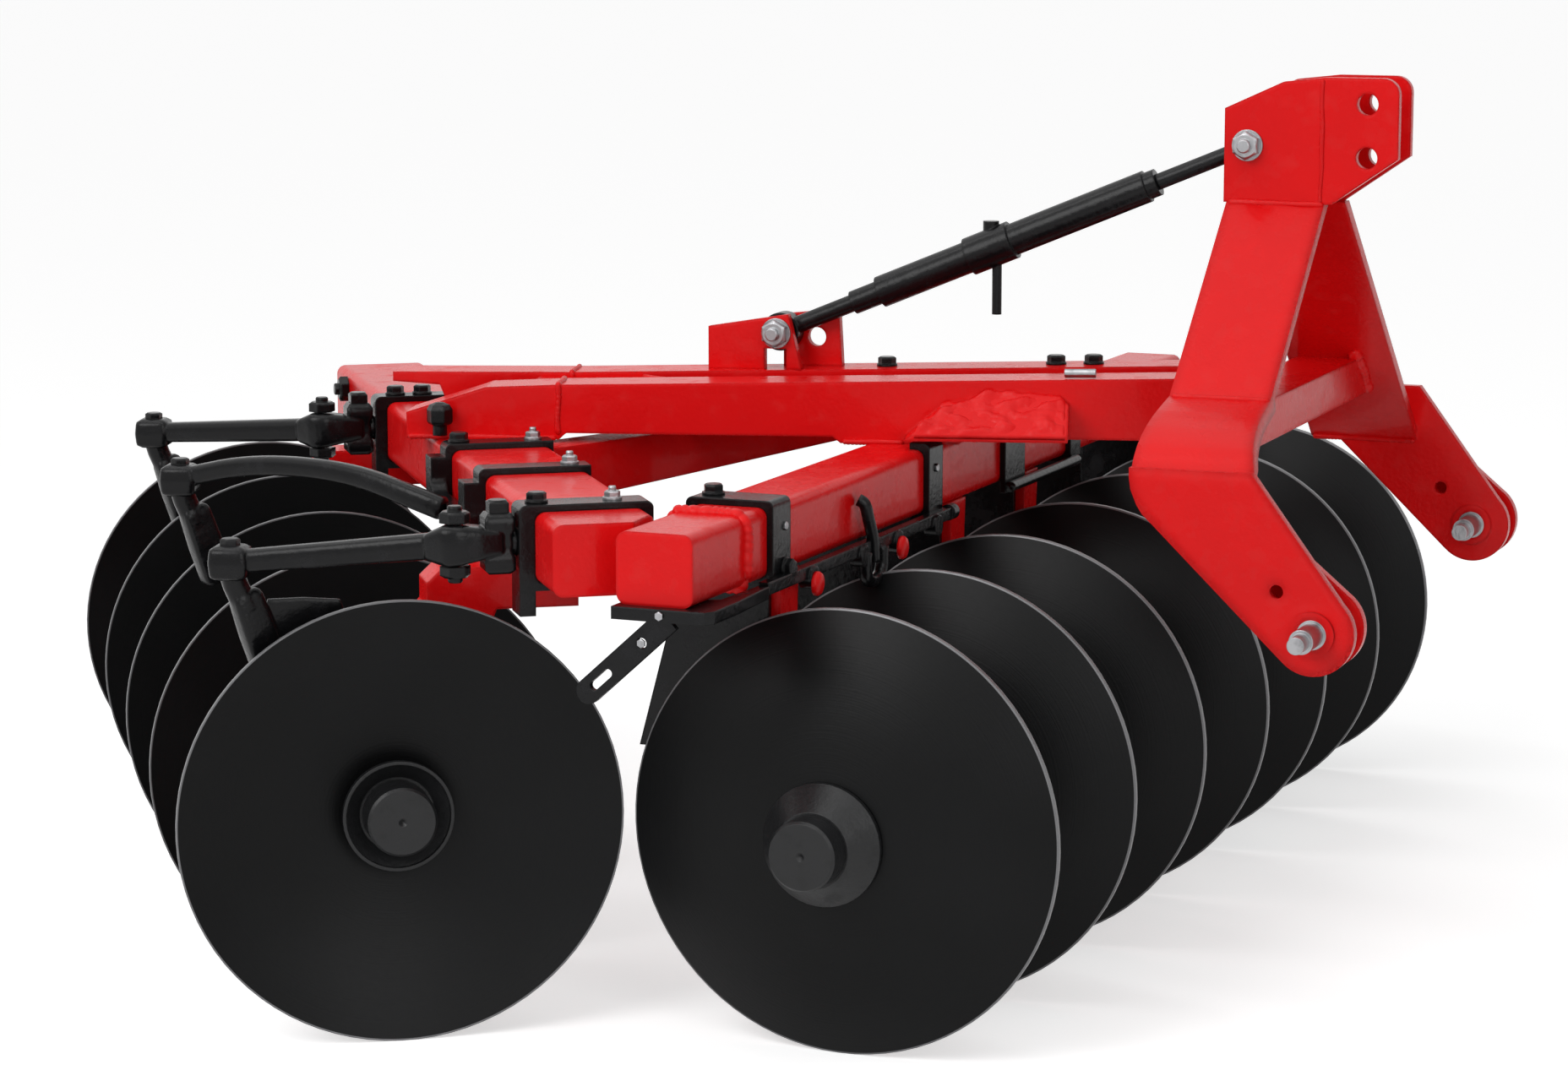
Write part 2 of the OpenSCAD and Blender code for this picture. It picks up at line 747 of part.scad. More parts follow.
module bearing() {
  w = bearing_w / 2;
  translate([0, 0, disc_r]) difference() {
    y_rod(housing_r, -w, w);
    y_rod(journal_r + bearing_clear, -w - 1, w + 1);
  }
}

module front_bearings() {
  color(red) front_frame() for (k = front_hung) translate([0, front_hanger_y(k), 0]) bearing();
}

module rear_bearings() {
  color(red) rear_frame() for (k = rear_hung) translate([0, rear_hanger_y(k), 0]) bearing();
}

// Thin flat bar with four lugs along the front straps, with a nut at its left end.
module front_scraper_bar() {
  color(black) front_frame() translate([bar_x0, 0, bar_z0]) {
    translate([0, -bar_near, 0]) cube([bar_w, bar_near - bar_far, bar_h]);
    for (y = lug_y) translate([0, y, 0]) x_rod(lug_r, 0, bar_w + 4);
    translate([bar_w / 2, 0, bar_h / 2]) y_rod(bar_h / 2 + 3, -bar_far, 16 - bar_far);
  }
}

// Plate under the right end of the front beam, with a slotted bar that hangs from it.
module front_end_plate() {
  y0 = -front_beam_near - 14;
  x0 = front_beam_x - front_beam_w / 2;
  color(black) front_frame() {
    translate([0, 0, beam_z - 14]) linear_extrude(14)
      polygon([[x0, y0], [bar_x0 + 12, y0], [bar_x0 + 18, y0 + 12], [bar_x0 + 18, y0 + 76],
        [bar_x0 + bar_w, -bar_near], [bar_x0, -bar_near], [bar_x0 - 4, y0 + 80], [x0, y0 + 52]]);
    xz_plate(y0, y0 + 8) translate([front_beam_x + 22, beam_z - 10]) rotate(-138) difference() {
      union() {
        translate([0, -14]) square([128, 28]);
        translate([128, 0]) circle(r = 14);
      }
      translate([42, 0]) circle(r = 6);
      translate([96, -5]) square([22, 10]);
      for (x = [96, 118]) translate([x, 0]) circle(r = 5);
    }
  }
}

// Height at which a front scraper hangs: the first one under the right strap, the others under the beam.
function scraper_top(k) = k == 0 ? beam_z - strap_t : beam_z;

// Scraper plates that hang behind the front discs.
module front_scrapers() {
  z0 = disc_r + 75;
  color(black) front_frame() for (k = [0:front_n - 2])
    translate([0, front_disc_y(k) + scraper_gap, 0]) xz_plate(0, scraper_t)
      polygon([[-160, scraper_top(k)], [-100, scraper_top(k)], [-100, beam_z - 70], [-150, z0],
        [-disc_r - 5, z0], [-222, beam_z - 68]]);
}

// Rear scraper arms: stub, pivot and clevis on a strap, then a bar with a rounded top out to its head.
module rear_scraper_arms() {
  color(black) beam_frame() for (a = arm_heads) {
    x1 = rear_flank - a[1];
    root = [x1 - arm_root, a[0], a[2]];
    run = [a[3], a[4], a[5]] - root;
    translate([x1, a[0], a[2]]) {
      x_rod(14, -20, 0);
      translate([-20, 0, -30]) cylinder(r = 17, h = 62);
      translate([-arm_root, -21, -18]) cube([arm_root - 20, 42, 38]);
      translate([-arm_root, 0, -24]) cylinder(r = 24, h = 48);
    }
    translate(root) rotate([0, -asin(run[2] / norm(run)), atan2(run[1], run[0])])
      rotate([90, 0, 90]) linear_extrude(norm(run)) {
        circle(r = arm_w / 2);
        translate([-arm_w / 2, -arm_w / 2]) square([arm_w, arm_w / 2]);
      }
    translate([a[3], a[4], a[5]]) rotate([0, 0, atan2(run[1], run[0])]) intersection() {
      cube([head_len, head_w, head_h], center = true);
      cylinder(r = head_len / 2, h = head_h, center = true);
    }
  }
}

// Scraper shanks that hang from the arm heads by a round neck, the first with a blade beside its disc.
module rear_scraper_blades() {
  z1 = -head_h / 2;
  z2 = z1 - neck_h;
  z0 = z1 - shank_drop;
  lean = shank_lean * neck_h / shank_drop;
  blade = arm_heads[0];
  color(black) beam_frame() {
    for (a = arm_heads) translate([a[3], a[4], a[5]]) {
      translate([0, 0, z2 - 1]) cylinder(r = neck_r, h = neck_h + 1);
      xz_plate(-shank_t / 2, shank_t / 2) polygon([[lean - shank_w / 2, z2], [lean + shank_w / 2, z2],
        [shank_lean + shank_w / 2, z0], [shank_lean - shank_w / 2, z0]]);
    }
    translate([blade[3], blade[4], blade[5]]) xz_plate(-4, 4)
      polygon([[18, -46], [131, -46], [120, z0 + 18], [shank_lean, z0 + 8]]);
  }
}

module front_discs() {
  color(black) front_frame() for (k = [0:front_n - 1])
    translate([0, front_disc_y(k), disc_r]) dished_disc();
}

module front_spools() {
  color(black) front_frame() for (k = [0:front_n - 2])
    translate([0, front_spool_y(k), disc_r]) spool(front_spool_len);
}

module front_axle() {
  s = axle_side;
  color(steel) front_frame() translate([-s / 2, front_disc_y(0) - seat_y - cone_h, disc_r - s / 2])
    cube([s, (front_n - 1) * front_pitch + disc_t + 2 * cone_h, s]);
}

// Conical end washer, wide face at y = 0, narrowing towards -Y.
module cone_washer() {
  difference() {
    y_turned([[0, -cone_h], [nut_r + 3, -cone_h], [cone_r, -8], [cone_r, -2], [seat_r, 0], [0, 0]]);
    axle_hole(-cone_h - 1, 1);
  }
}

// Round end nut with a chamfer and a centre drilling, from y = 0 towards -Y.
module end_nut(h) {
  y_turned([[0, 4 - h], [5, -h], [nut_r - 3, -h], [nut_r, 3 - h], [nut_r, 0], [0, 0]]);
}

module front_washers() {
  color(steel) front_frame() translate([0, 0, disc_r]) {
    translate([0, front_disc_y(0) - seat_y, 0]) cone_washer();
    translate([0, front_disc_y(front_n - 1) - seat_y + disc_t, 0]) mirror([0, 1, 0]) cone_washer();
  }
}

module front_nuts() {
  color(steel) front_frame() translate([0, 0, disc_r]) {
    translate([0, front_disc_y(0) - seat_y - cone_h, 0]) end_nut(nut_h);
    translate([0, front_disc_y(front_n - 1) - seat_y + disc_t + cone_h, 0]) mirror([0, 1, 0]) end_nut(nut_h);
  }
}

module rear_discs() {
  color(black) rear_frame() for (k = [0:rear_n - 1])
    translate([0, rear_disc_y(k), disc_r]) mirror([0, 1, 0]) dished_disc();
}

module rear_spools() {
  color(black) rear_frame() for (k = [0:rear_n - 2])
    translate([0, rear_spool_y(k), disc_r]) spool(rear_spool_len);
}

module rear_axle() {
  s = axle_side;
  color(steel) rear_frame() translate([-s / 2, rear_disc_y(0) + seat_y - disc_t - flange_h, disc_r - s / 2])
    cube([s, (rear_n - 1) * rear_pitch + disc_t + flange_h + cone_h, s]);
}

// Flanged end washer, its hollow face with a thin rim towards -Y.
module flange_washer() {
  difference() {
    y_turned([[0, -flange_h], [nut_r + 3, -flange_h], [flange_r - 4, -24], [flange_r - 4, -28],
      [flange_r, -28], [flange_r, -20], [nut_r + 8, 0], [0, 0]]);
    axle_hole(-flange_h - 1, 1);
  }
}

module rear_washers() {
  color(steel) rear_frame() translate([0, 0, disc_r]) {
    translate([0, rear_disc_y(0) + seat_y - disc_t, 0]) flange_washer();
    translate([0, rear_disc_y(rear_n - 1) + seat_y, 0]) mirror([0, 1, 0]) cone_washer();
  }
}

module rear_nuts() {
  color(steel) rear_frame() translate([0, 0, disc_r]) {
    translate([0, rear_disc_y(0) + seat_y - disc_t - flange_h, 0]) end_nut(cap_h);
    translate([0, rear_disc_y(rear_n - 1) + seat_y + cone_h, 0]) mirror([0, 1, 0]) end_nut(nut_h);
  }
}

front_beam();
rear_beam();
right_rail();
left_rail();
cross_tube();
brace_tube();
right_mast_plate();
left_mast_plate();
right_leg();
left_leg();
right_fork();
left_fork();
right_pin();
left_pin();
brace_barrel();
brace_rear_rod();
brace_front_rod();
brace_bracket();
bracket_bolt();
mast_bolt();
front_straps();
rear_straps();
front_hangers();
rear_hangers();
front_bearings();
rear_bearings();
front_scraper_bar();
front_scrapers();
rear_scraper_arms();
rear_scraper_blades();
front_end_plate();
front_discs();
front_spools();
front_axle();
front_washers();
front_nuts();
rear_discs();
rear_spools();
rear_axle();
rear_washers();
rear_nuts();
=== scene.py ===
"""Looks of an offset disc harrow: paint, steel, weld beads, bolts and a plain white studio."""

import json
import math

import bpy
import numpy as np
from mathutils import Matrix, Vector


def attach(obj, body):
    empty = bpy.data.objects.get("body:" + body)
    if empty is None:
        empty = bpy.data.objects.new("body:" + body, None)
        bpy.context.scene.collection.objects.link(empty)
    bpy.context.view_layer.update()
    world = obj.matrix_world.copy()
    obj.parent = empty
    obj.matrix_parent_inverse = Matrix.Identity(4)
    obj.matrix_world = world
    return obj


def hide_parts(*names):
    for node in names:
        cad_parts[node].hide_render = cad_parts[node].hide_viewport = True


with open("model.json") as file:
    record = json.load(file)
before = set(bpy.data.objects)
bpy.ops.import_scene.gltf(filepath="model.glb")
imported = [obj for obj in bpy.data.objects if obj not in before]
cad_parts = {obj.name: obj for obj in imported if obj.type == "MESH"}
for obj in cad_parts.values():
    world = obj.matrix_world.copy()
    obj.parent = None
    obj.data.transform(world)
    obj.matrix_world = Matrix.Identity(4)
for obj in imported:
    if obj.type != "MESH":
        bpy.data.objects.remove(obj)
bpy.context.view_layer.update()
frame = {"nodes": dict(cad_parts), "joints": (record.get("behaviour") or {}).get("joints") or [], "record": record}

bl_info = {
    "name": "Disc harrow looks",
    "version": (1, 0, 0),
    "blender": (4, 5, 0),
    "location": "View3D > Sidebar > Harrow",
    "description": "Dresses the packed disc harrow with paint, steel, welds and bolts",
    "category": "Object",
}

NODES = frame["nodes"]
SLOT_OF = {part["node"]: part["material_slot"] for part in frame["record"]["subparts"]}
JOINTS = {joint["name"]: joint for joint in frame["joints"]}
MM_PER_M = 1000.0

# Directions in a frame of the machine.
FORE, AFT = [1, 0, 0], [-1, 0, 0]
LEFT, RIGHT = [0, 1, 0], [0, -1, 0]
UP, DOWN = [0, 0, 1], [0, 0, -1]


class Place:
    """A level frame of the machine, its origin on the ground, turned about Z, X fore and Y left."""

    def __init__(self, origin, turn):
        self.origin = np.array([origin[0], origin[1], 0.0])
        c, s = math.cos(turn), math.sin(turn)
        self.turn = np.array([[c, s, 0.0], [-s, c, 0.0], [0.0, 0.0, 1.0]])

    def at(self, points):
        """Points in millimetres of this frame, given back in metres of the shared frame."""
        return self.origin + np.asarray(points, float) / MM_PER_M @ self.turn

    def along(self, vector):
        """A direction of this frame, given back in the shared frame."""
        return np.asarray(vector, float) @ self.turn


def gang_place(name):
    """The frame of a gang: its axle along Y, above the origin."""
    x, y, _ = JOINTS[name]["pos_m"]
    ax, ay, _ = JOINTS[name]["axis"]
    return Place((x, y), math.atan2(-ax, ay))


# In millimetres: the front axle, the rails' head and the brace's bracket in the machine's own
# frame, how far the rear beam lies ahead of its axle, and the top brace's run fore and to the left.
FRONT_AXLE = [76.0, 852.0, 0.0]
RAIL_HEAD = [330.0, 657.7, 0.0]
BRACKET_FOOT = [-258.0, 655.0, 0.0]
BEAM_AHEAD = [181.0, 0.0, 0.0]
BRACE_RUN = (599.0, 42.0)
BEAM_TURN = math.radians(36.46)
RAIL_TURN = math.radians(16.0)

# The two gangs, the rear beam, the machine's own frame, the rails and the bracket.
FRONT = gang_place("front_gang_turn")
REAR = gang_place("rear_gang_turn")
BEAM = Place(REAR.at(BEAM_AHEAD), BEAM_TURN)
BEAM.origin = BEAM.at(np.negative(BEAM_AHEAD))
MAIN = Place(FRONT.origin - np.array(FRONT_AXLE) / MM_PER_M, 0.0)
RAIL = Place(MAIN.at(RAIL_HEAD), RAIL_TURN)
BRACKET = Place(MAIN.at(BRACKET_FOOT), math.atan2(BRACE_RUN[1], BRACE_RUN[0]))


class PaintLook(bpy.types.PropertyGroup):
    """Colours and finishes."""

    red: bpy.props.FloatVectorProperty(
        name="Red", description="Colour of the frame paint", default=(0.67, 0.005, 0.006),
        subtype="COLOR", size=3, min=0.0, max=1.0,
    )
    black: bpy.props.FloatVectorProperty(
        name="Black", description="Colour of the painted hardware", default=(0.004, 0.004, 0.0045),
        subtype="COLOR", size=3, min=0.0, max=1.0,
    )
    disc: bpy.props.FloatVectorProperty(
        name="Disc", description="Colour of the discs' coating", default=(0.0026, 0.0027, 0.0029),
        subtype="COLOR", size=3, min=0.0, max=1.0,
    )
    zinc: bpy.props.FloatVectorProperty(
        name="Zinc", description="Colour of plated bolts and pins", default=(0.30, 0.30, 0.31),
        subtype="COLOR", size=3, min=0.0, max=1.0,
    )
    hub: bpy.props.FloatVectorProperty(
        name="Hub", description="Colour of the axle ends", default=(0.007, 0.0072, 0.0078),
        subtype="COLOR", size=3, min=0.0, max=1.0,
    )
    edge: bpy.props.FloatProperty(
        name="Edge", description="Radius of the rounded paint edges", default=0.006,
        unit="LENGTH",
    )
    bend: bpy.props.FloatProperty(
        name="Bend", description="Radius of the soft bends of the mast leg", default=0.022,
        unit="LENGTH",
    )
    rim: bpy.props.FloatProperty(
        name="Rim", description="Width of the bare line at a disc's rim", default=0.0018,
        unit="LENGTH",
    )
    disc_radius: bpy.props.FloatProperty(
        name="Disc radius", description="Radius of a disc", default=0.255, unit="LENGTH"
    )


class WeldLook(bpy.types.PropertyGroup):
    """Size of the weld beads."""

    radius: bpy.props.FloatProperty(
        name="Radius", description="Radius of a bead", default=0.0036, unit="LENGTH"
    )
    pitch: bpy.props.FloatProperty(
        name="Pitch", description="Distance from ripple to ripple", default=0.0046, unit="LENGTH"
    )
    ripple: bpy.props.FloatProperty(
        name="Ripple", description="Height of the ripples as a share of the radius", default=0.22
    )
    step: bpy.props.FloatProperty(
        name="Step", description="Distance from ring to ring", default=0.0010, unit="LENGTH"
    )


class StageLook(bpy.types.PropertyGroup):
    """Camera, floor and lamps."""

    lens: bpy.props.FloatProperty(
        name="Lens", description="Focal length on a 36 mm sensor, in mm", default=96.36
    )
    azimuth: bpy.props.FloatProperty(
        name="Azimuth", description="Turn of the view from straight along +Y",
        default=math.radians(21.4), subtype="ANGLE",
    )
    elevation: bpy.props.FloatProperty(
        name="Elevation", description="Height of the view above the horizon",
        default=math.radians(9.4), subtype="ANGLE",
    )
    eye: bpy.props.FloatVectorProperty(
        name="Eye", description="Place of the camera", default=(2.0692, -4.9774, 1.3444),
        subtype="XYZ", unit="LENGTH",
    )
    sky: bpy.props.FloatProperty(
        name="Sky", description="Strength of the light from all round", default=0.16
    )
    sun: bpy.props.FloatProperty(
        name="Sun", description="Strength of the wide even light from above", default=1.3
    )
    key: bpy.props.FloatProperty(
        name="Key", description="Power of the large lamp ahead, in watts", default=92.0
    )
    glow: bpy.props.FloatProperty(
        name="Glow", description="Power of the lamp ahead on the right, in watts", default=36.0
    )
    strip: bpy.props.FloatProperty(
        name="Strip", description="Power of the long narrow lamp overhead, in watts", default=13.0
    )
    lift: bpy.props.FloatProperty(
        name="Lift", description="Light that the floor shows of itself", default=0.54
    )


class Value:
    """A socket of a shader tree: the signs + - * on it add Math nodes."""

    def __init__(self, shading, socket):
        self.shading = shading
        self.socket = socket

    def _math(self, operation, first, second):
        return self.shading.node("ShaderNodeMath", {"operation": operation}, {0: first, 1: second})

    def __add__(self, other):
        return self._math("ADD", self, other)

    __radd__ = __add__

    def __sub__(self, other):
        return self._math("SUBTRACT", self, other)

    def __rsub__(self, other):
        return self._math("SUBTRACT", other, self)

    def __mul__(self, other):
        return self._math("MULTIPLY", self, other)

    __rmul__ = __mul__

    def ramp(self, low, high):
        """A smooth step from 0 at low to 1 at high."""
        return self.shading.node(
            "ShaderNodeMapRange", {"interpolation_type": "SMOOTHSTEP"},
            {"Value": self, "From Min": low, "From Max": high},
        )


class Shading:
    """A node tree whose nodes are written as expressions."""

    def __init__(self, tree):
        self.tree = tree

    def node(self, kind, settings=None, values=None, output=0):
        """Adds a node, sets it up, fills or links its sockets and returns one output."""
        made = self.tree.nodes.new(kind)
        for key, setting in (settings or {}).items():
            setattr(made, key, setting)
        for key, value in (values or {}).items():
            self.plug(made.inputs[key], value)
        return Value(self, made.outputs[output])

    def plug(self, socket, value):
        """Links a Value to a socket, or sets the socket to a plain number or colour."""
        if isinstance(value, Value):
            self.tree.links.new(value.socket, socket)
        else:
            socket.default_value = value

    def seen(self):
        """1 on rays from the camera, mirrors and glass, 0 on rays that light the object."""
        rays = [
            self.node("ShaderNodeLightPath", output=f"Is {kind} Ray")
            for kind in ("Camera", "Glossy", "Transmission")
        ]
        return (rays[0] + rays[1] + rays[2]).ramp(0.0, 1.0)


# Sockets of a Mix node that holds colours; their names are not unique.
MIX_SHARE, MIX_FIRST, MIX_SECOND = 0, 6, 7
MIX_RESULT = 2


class Finish(Shading):
    """A material with one shader."""

    def __init__(self, name):
        self.material = bpy.data.materials.new(name)
        self.material.use_nodes = True
        super().__init__(self.material.node_tree)
        self.shader = self.tree.nodes["Principled BSDF"]
        self.point = self.node("ShaderNodeTexCoord", output="Object")

    def set(self, **values):
        """Fills the shader's sockets by name, with _ for a space."""
        for key, value in values.items():
            self.plug(self.shader.inputs[key.replace("_", " ")], value)

    def noise(self, scale, detail):
        """Smooth noise of about 0 to 1, its grain about one metre over the scale."""
        return self.node(
            "ShaderNodeTexNoise", None,
            {"Vector": self.point, "Scale": scale, "Detail": detail, "Roughness": 0.55},
        )

    def mix(self, share, first, second):
        """A colour between two colours."""
        return self.node(
            "ShaderNodeMix", {"data_type": "RGBA"},
            {MIX_SHARE: share, MIX_FIRST: first, MIX_SECOND: second}, output=MIX_RESULT,
        )

    def relief(self, height, distance, edge):
        """A normal from a height, on edges rounded to the given radius."""
        rounded = self.node("ShaderNodeBevel", {"samples": 4}, {"Radius": edge})
        return self.node(
            "ShaderNodeBump", None,
            {"Strength": 1.0, "Distance": distance, "Height": height, "Normal": rounded},
        )


def rgba(colour, factor=1.0):
    """A colour with full alpha, made lighter or darker by the factor."""
    return (*(min(1.0, channel * factor) for channel in colour), 1.0)


RED_DUST = (0.62, 0.09, 0.08, 1.0)
BARE_RIM = (0.16, 0.16, 0.165, 1.0)
RIM_BLEND = 0.0006
DISC_EDGE = 0.001
STEEL_EDGE = 0.0015


def red_finish(look, name, edge):
    """Gloss paint: a fine orange-peel relief, soft cloudy shade and a slight dust bloom."""
    finish = Finish(name)
    cloud = finish.noise(5.0, 4.0)
    peel = finish.noise(170.0, 2.0)
    dust = finish.noise(38.0, 5.0).ramp(0.52, 0.75)
    colour = finish.mix(cloud.ramp(0.3, 0.7), rgba(look.red, 0.94), rgba(look.red, 1.04))
    colour = finish.mix(dust * 0.08, colour, RED_DUST)
    finish.set(
        Base_Color=colour,
        Roughness=0.24 + 0.14 * dust + 0.06 * cloud,
        Specular_IOR_Level=0.10,
        Coat_Weight=0.08,
        Coat_Roughness=0.06,
        Normal=finish.relief(peel, 0.0004, edge),
    )


def black_finish(look):
    """Satin paint on forged and flame-cut steel: uneven relief and greyer worn patches."""
    finish = Finish("satin black")
    grain = finish.noise(130.0, 4.0)
    wear = finish.noise(24.0, 5.0).ramp(0.50, 0.78)
    finish.set(
        Base_Color=finish.mix(wear * 0.5, rgba(look.black), rgba(look.black, 3.2)),
        Roughness=0.18 + 0.16 * wear + 0.08 * grain,
        Specular_IOR_Level=0.17,
        Normal=finish.relief(grain, 0.0005, 0.5 * look.edge),
    )


def disc_finish(look, name, joint):
    """Satin black on a spun disc: fine rings about the axle, a cloudy painted sheen in the base colour and a bare
    rim line.
    """
    finish = Finish(name)
    hub, axle = tuple(JOINTS[joint]["pos_m"]), tuple(JOINTS[joint]["axis"])
    vector_math = "ShaderNodeVectorMath"
    offset = finish.node(vector_math, {"operation": "SUBTRACT"}, {0: finish.point, 1: hub})
    across = finish.node(vector_math, {"operation": "CROSS_PRODUCT"}, {0: offset, 1: axle})
    radius = finish.node(vector_math, {"operation": "LENGTH"}, {0: across}, output="Value")
    rings = finish.node(
        "ShaderNodeTexNoise", {"noise_dimensions": "1D"},
        {"W": radius, "Scale": 420.0, "Detail": 2.0},
    )
    painted_sheen = finish.noise(4.0, 3.0)
    grain = finish.noise(160.0, 3.0)
    inner = look.disc_radius - look.rim
    rim = radius.ramp(inner - RIM_BLEND, inner)
    # Painted sheen: cloudy patches up to twice as light as the disc colour stand in for soft reflections on the
    # discs.
    dull, painted_sheen_colour = rgba(look.disc, 0.8), rgba(look.disc, 2.0)
    colour = finish.mix(painted_sheen.ramp(0.35, 0.7) * 0.6, dull, painted_sheen_colour)
    finish.set(
        Base_Color=finish.mix(rim, colour, BARE_RIM),
        Metallic=rim * 0.3,
        Roughness=0.32 + 0.08 * painted_sheen + 0.08 * grain - 0.06 * rim,
        Specular_IOR_Level=0.12,
        Normal=finish.relief(rings * 0.5 + grain * 0.5, 0.0002, DISC_EDGE),
    )


def metal_finish(name, colour, roughness, metallic, relief):
    """Steel with a fine uneven grain and darker stains."""
    finish = Finish(name)
    grain = finish.noise(190.0, 4.0)
    stain = finish.noise(45.0, 4.0).ramp(0.48, 0.75)
    finish.set(
        Base_Color=finish.mix(stain, rgba(colour, 1.1), rgba(colour, 0.6)),
        Metallic=metallic,
        Roughness=roughness + 0.15 * stain + 0.08 * grain,
        Specular_IOR_Level=0.3,
        Normal=finish.relief(grain, relief, STEEL_EDGE),
    )


FINISH_OF = {
    "red_paint": "gloss red",
    "black_paint": "satin black",
    "zinc_steel": "plated zinc",
    "bare_steel": "axle steel",
}
OWN_FINISH = {"front_discs": "front disc", "rear_discs": "rear disc", "right_leg": "bent red"}


class HARROW_OT_paint(bpy.types.Operator):
    """Gives every CAD node its finish"""

    bl_idname = "harrow.paint"
    bl_label = "Paint"

    def execute(self, context):
        look = context.scene.harrow_paint
        red_finish(look, "gloss red", look.edge)
        red_finish(look, "bent red", look.bend)
        black_finish(look)
        disc_finish(look, "front disc", "front_gang_turn")
        disc_finish(look, "rear disc", "rear_gang_turn")
        metal_finish("plated zinc", look.zinc, roughness=0.26, metallic=1.0, relief=0.0003)
        metal_finish("axle steel", look.hub, roughness=0.34, metallic=0.0, relief=0.0005)
        for name, node in NODES.items():
            own = OWN_FINISH.get(name) or FINISH_OF[SLOT_OF[name]]
            node.data.materials.clear()
            node.data.materials.append(bpy.data.materials[own])
        return {"FINISHED"}


def skin(name, grids, slot, smooth):
    """An object of closed skins on the frame: each grid holds rings of points, joined ring to ring
    and closed by a flat face at both ends."""
    points, faces, first = [], [], 0
    for rings in grids:
        count, sides, _ = rings.shape
        index = first + np.arange(count * sides).reshape(count, sides)
        ahead = np.roll(index, -1, axis=1)
        quads = np.stack([index[:-1], ahead[:-1], ahead[1:], index[1:]], axis=-1)
        faces += quads.reshape(-1, 4).tolist() + [index[0, ::-1].tolist(), index[-1].tolist()]
        points.append(rings.reshape(-1, 3))
        first += count * sides
    mesh = bpy.data.meshes.new(name)
    mesh.from_pydata(np.concatenate(points).tolist(), [], faces)
    mesh.polygons.foreach_set("use_smooth", [smooth] * len(mesh.polygons))
    mesh.materials.append(bpy.data.materials[FINISH_OF[slot]])
    piece = bpy.data.objects.new(name, mesh)
    bpy.context.scene.collection.objects.link(piece)
    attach(piece, "frame")
    return piece


# Sides of round sections, distance from ring to ring in metres, passes that round a bend, and the
# share of its size that a forged bar keeps at its very end.
BEAD_SIDES = 8
BAR_SIDES = 32
TURNED_SIDES = 48
BAR_STEP = 0.003
FEWEST_RINGS = 6
BEND_PASSES = 3
BLUNT = 0.72


def unit(vectors):
    """Vectors brought to length 1."""
    return vectors / np.linalg.norm(vectors, axis=-1, keepdims=True)


def turn_angles(sides):
    """Angles of a full turn cut into even sides."""
    return np.linspace(0.0, 2.0 * np.pi, sides, endpoint=False)


def resample(corners, step):
    """A path through corners cut into even steps, and the distance along it."""
    corners = np.asarray(corners, float)
    legs = np.linalg.norm(np.diff(corners, axis=0), axis=1)
    reach = np.concatenate([[0.0], np.cumsum(legs)])
    along = np.linspace(0.0, reach[-1], max(FEWEST_RINGS, int(reach[-1] / step)))
    path = np.stack([np.interp(along, reach, column) for column in corners.T], axis=1)
    return path, along


def round_frame(path, sides):
    """Unit rings across a path, cos a * up + sin a * right, and the up directions. The lead is the
    direction least along the path, right is ahead x lead and up is right x ahead."""
    ahead = unit(np.gradient(path, axis=0))
    lead = np.linalg.eigh(ahead.T @ ahead)[1][:, 0]
    right = unit(np.cross(ahead, lead))
    up = np.cross(right, ahead)
    angle = turn_angles(sides)
    ring = np.cos(angle)[:, None] * up[:, None, :] + np.sin(angle)[:, None] * right[:, None, :]
    return ring, up


def tube(corners, radius, sides=12):
    """Rings of a round bar along a path: centre + radius * (cos a * up + sin a * right)."""
    path, _ = resample(corners, BAR_STEP)
    ring, _ = round_frame(path, sides)
    return path[:, None, :] + radius * ring


def bead(corners, look, size):
    """Rings of a weld bead: a tube whose radius swells in scales, |sin| of the distance over the
    pitch to a power, and whose width and line wander in slow sines, with tapered ends."""
    path, along = resample(corners, look.step)
    ring, up = round_frame(path, BEAD_SIDES)
    radius = look.radius * size
    phase = 40.0 * float(np.sum(corners[0]))
    wander = 0.8 * np.sin(along * 130.0 + phase) + 0.6 * np.sin(along * 71.0 + 3.0 * phase)
    scales = np.abs(np.sin(np.pi * along / (look.pitch * size) + phase + wander)) ** 0.6
    uneven = np.sin(along * 61.0 + 2.0 * phase) + np.sin(along * 23.0 + 5.0 * phase)
    swell = 1.0 - look.ripple + look.ripple * scales + 0.08 * uneven
    near_end = np.minimum(along, along[-1] - along)
    width = radius * swell * np.clip(0.3 + near_end / radius, 0.0, 1.0)
    drift = np.sin(along * 47.0 + phase) + np.sin(along * 113.0 + 2.0 * phase)
    centre = path + 0.15 * radius * drift[:, None] * up
    return centre[:, None, :] + width[:, None, None] * ring


def bent(corners):
    """A path with its corners cut round: each pass puts two points on every leg, at 1/4 and 3/4."""
    path = np.asarray(corners, float)
    for _ in range(BEND_PASSES):
        first = 0.75 * path[:-1] + 0.25 * path[1:]
        second = 0.25 * path[:-1] + 0.75 * path[1:]
        inner = np.stack([first, second], axis=1).reshape(-1, 3)
        path = np.concatenate([path[:1], inner, path[-1:]])
    return path


# The wedge in millimetres of the rails' frame: its ends and sides, its outline, its sloping top,
# the width of a row of weld, the edge it fades out on, and how deep its top and underside lie.
WEDGE_GRID = (150, 60)
WEDGE_LENGTH = (-386.0, -203.0)
WEDGE_WIDTH = (-0.5, -60.5)
WEDGE_OUTLINE = ((-399.0, -354.0, -289.0, -212.0, -200.0), (632.0, 668.0, 686.0, 682.0, 672.0))
WEDGE_CREST = 692.0
WEDGE_START = 2.0
WEDGE_SLOPE = 52.0 / 62.0
WEDGE_LANE = 15.0
WEDGE_FADE = 5.0
WEDGE_SINK = 0.6
WEDGE_SKIN = 4.0


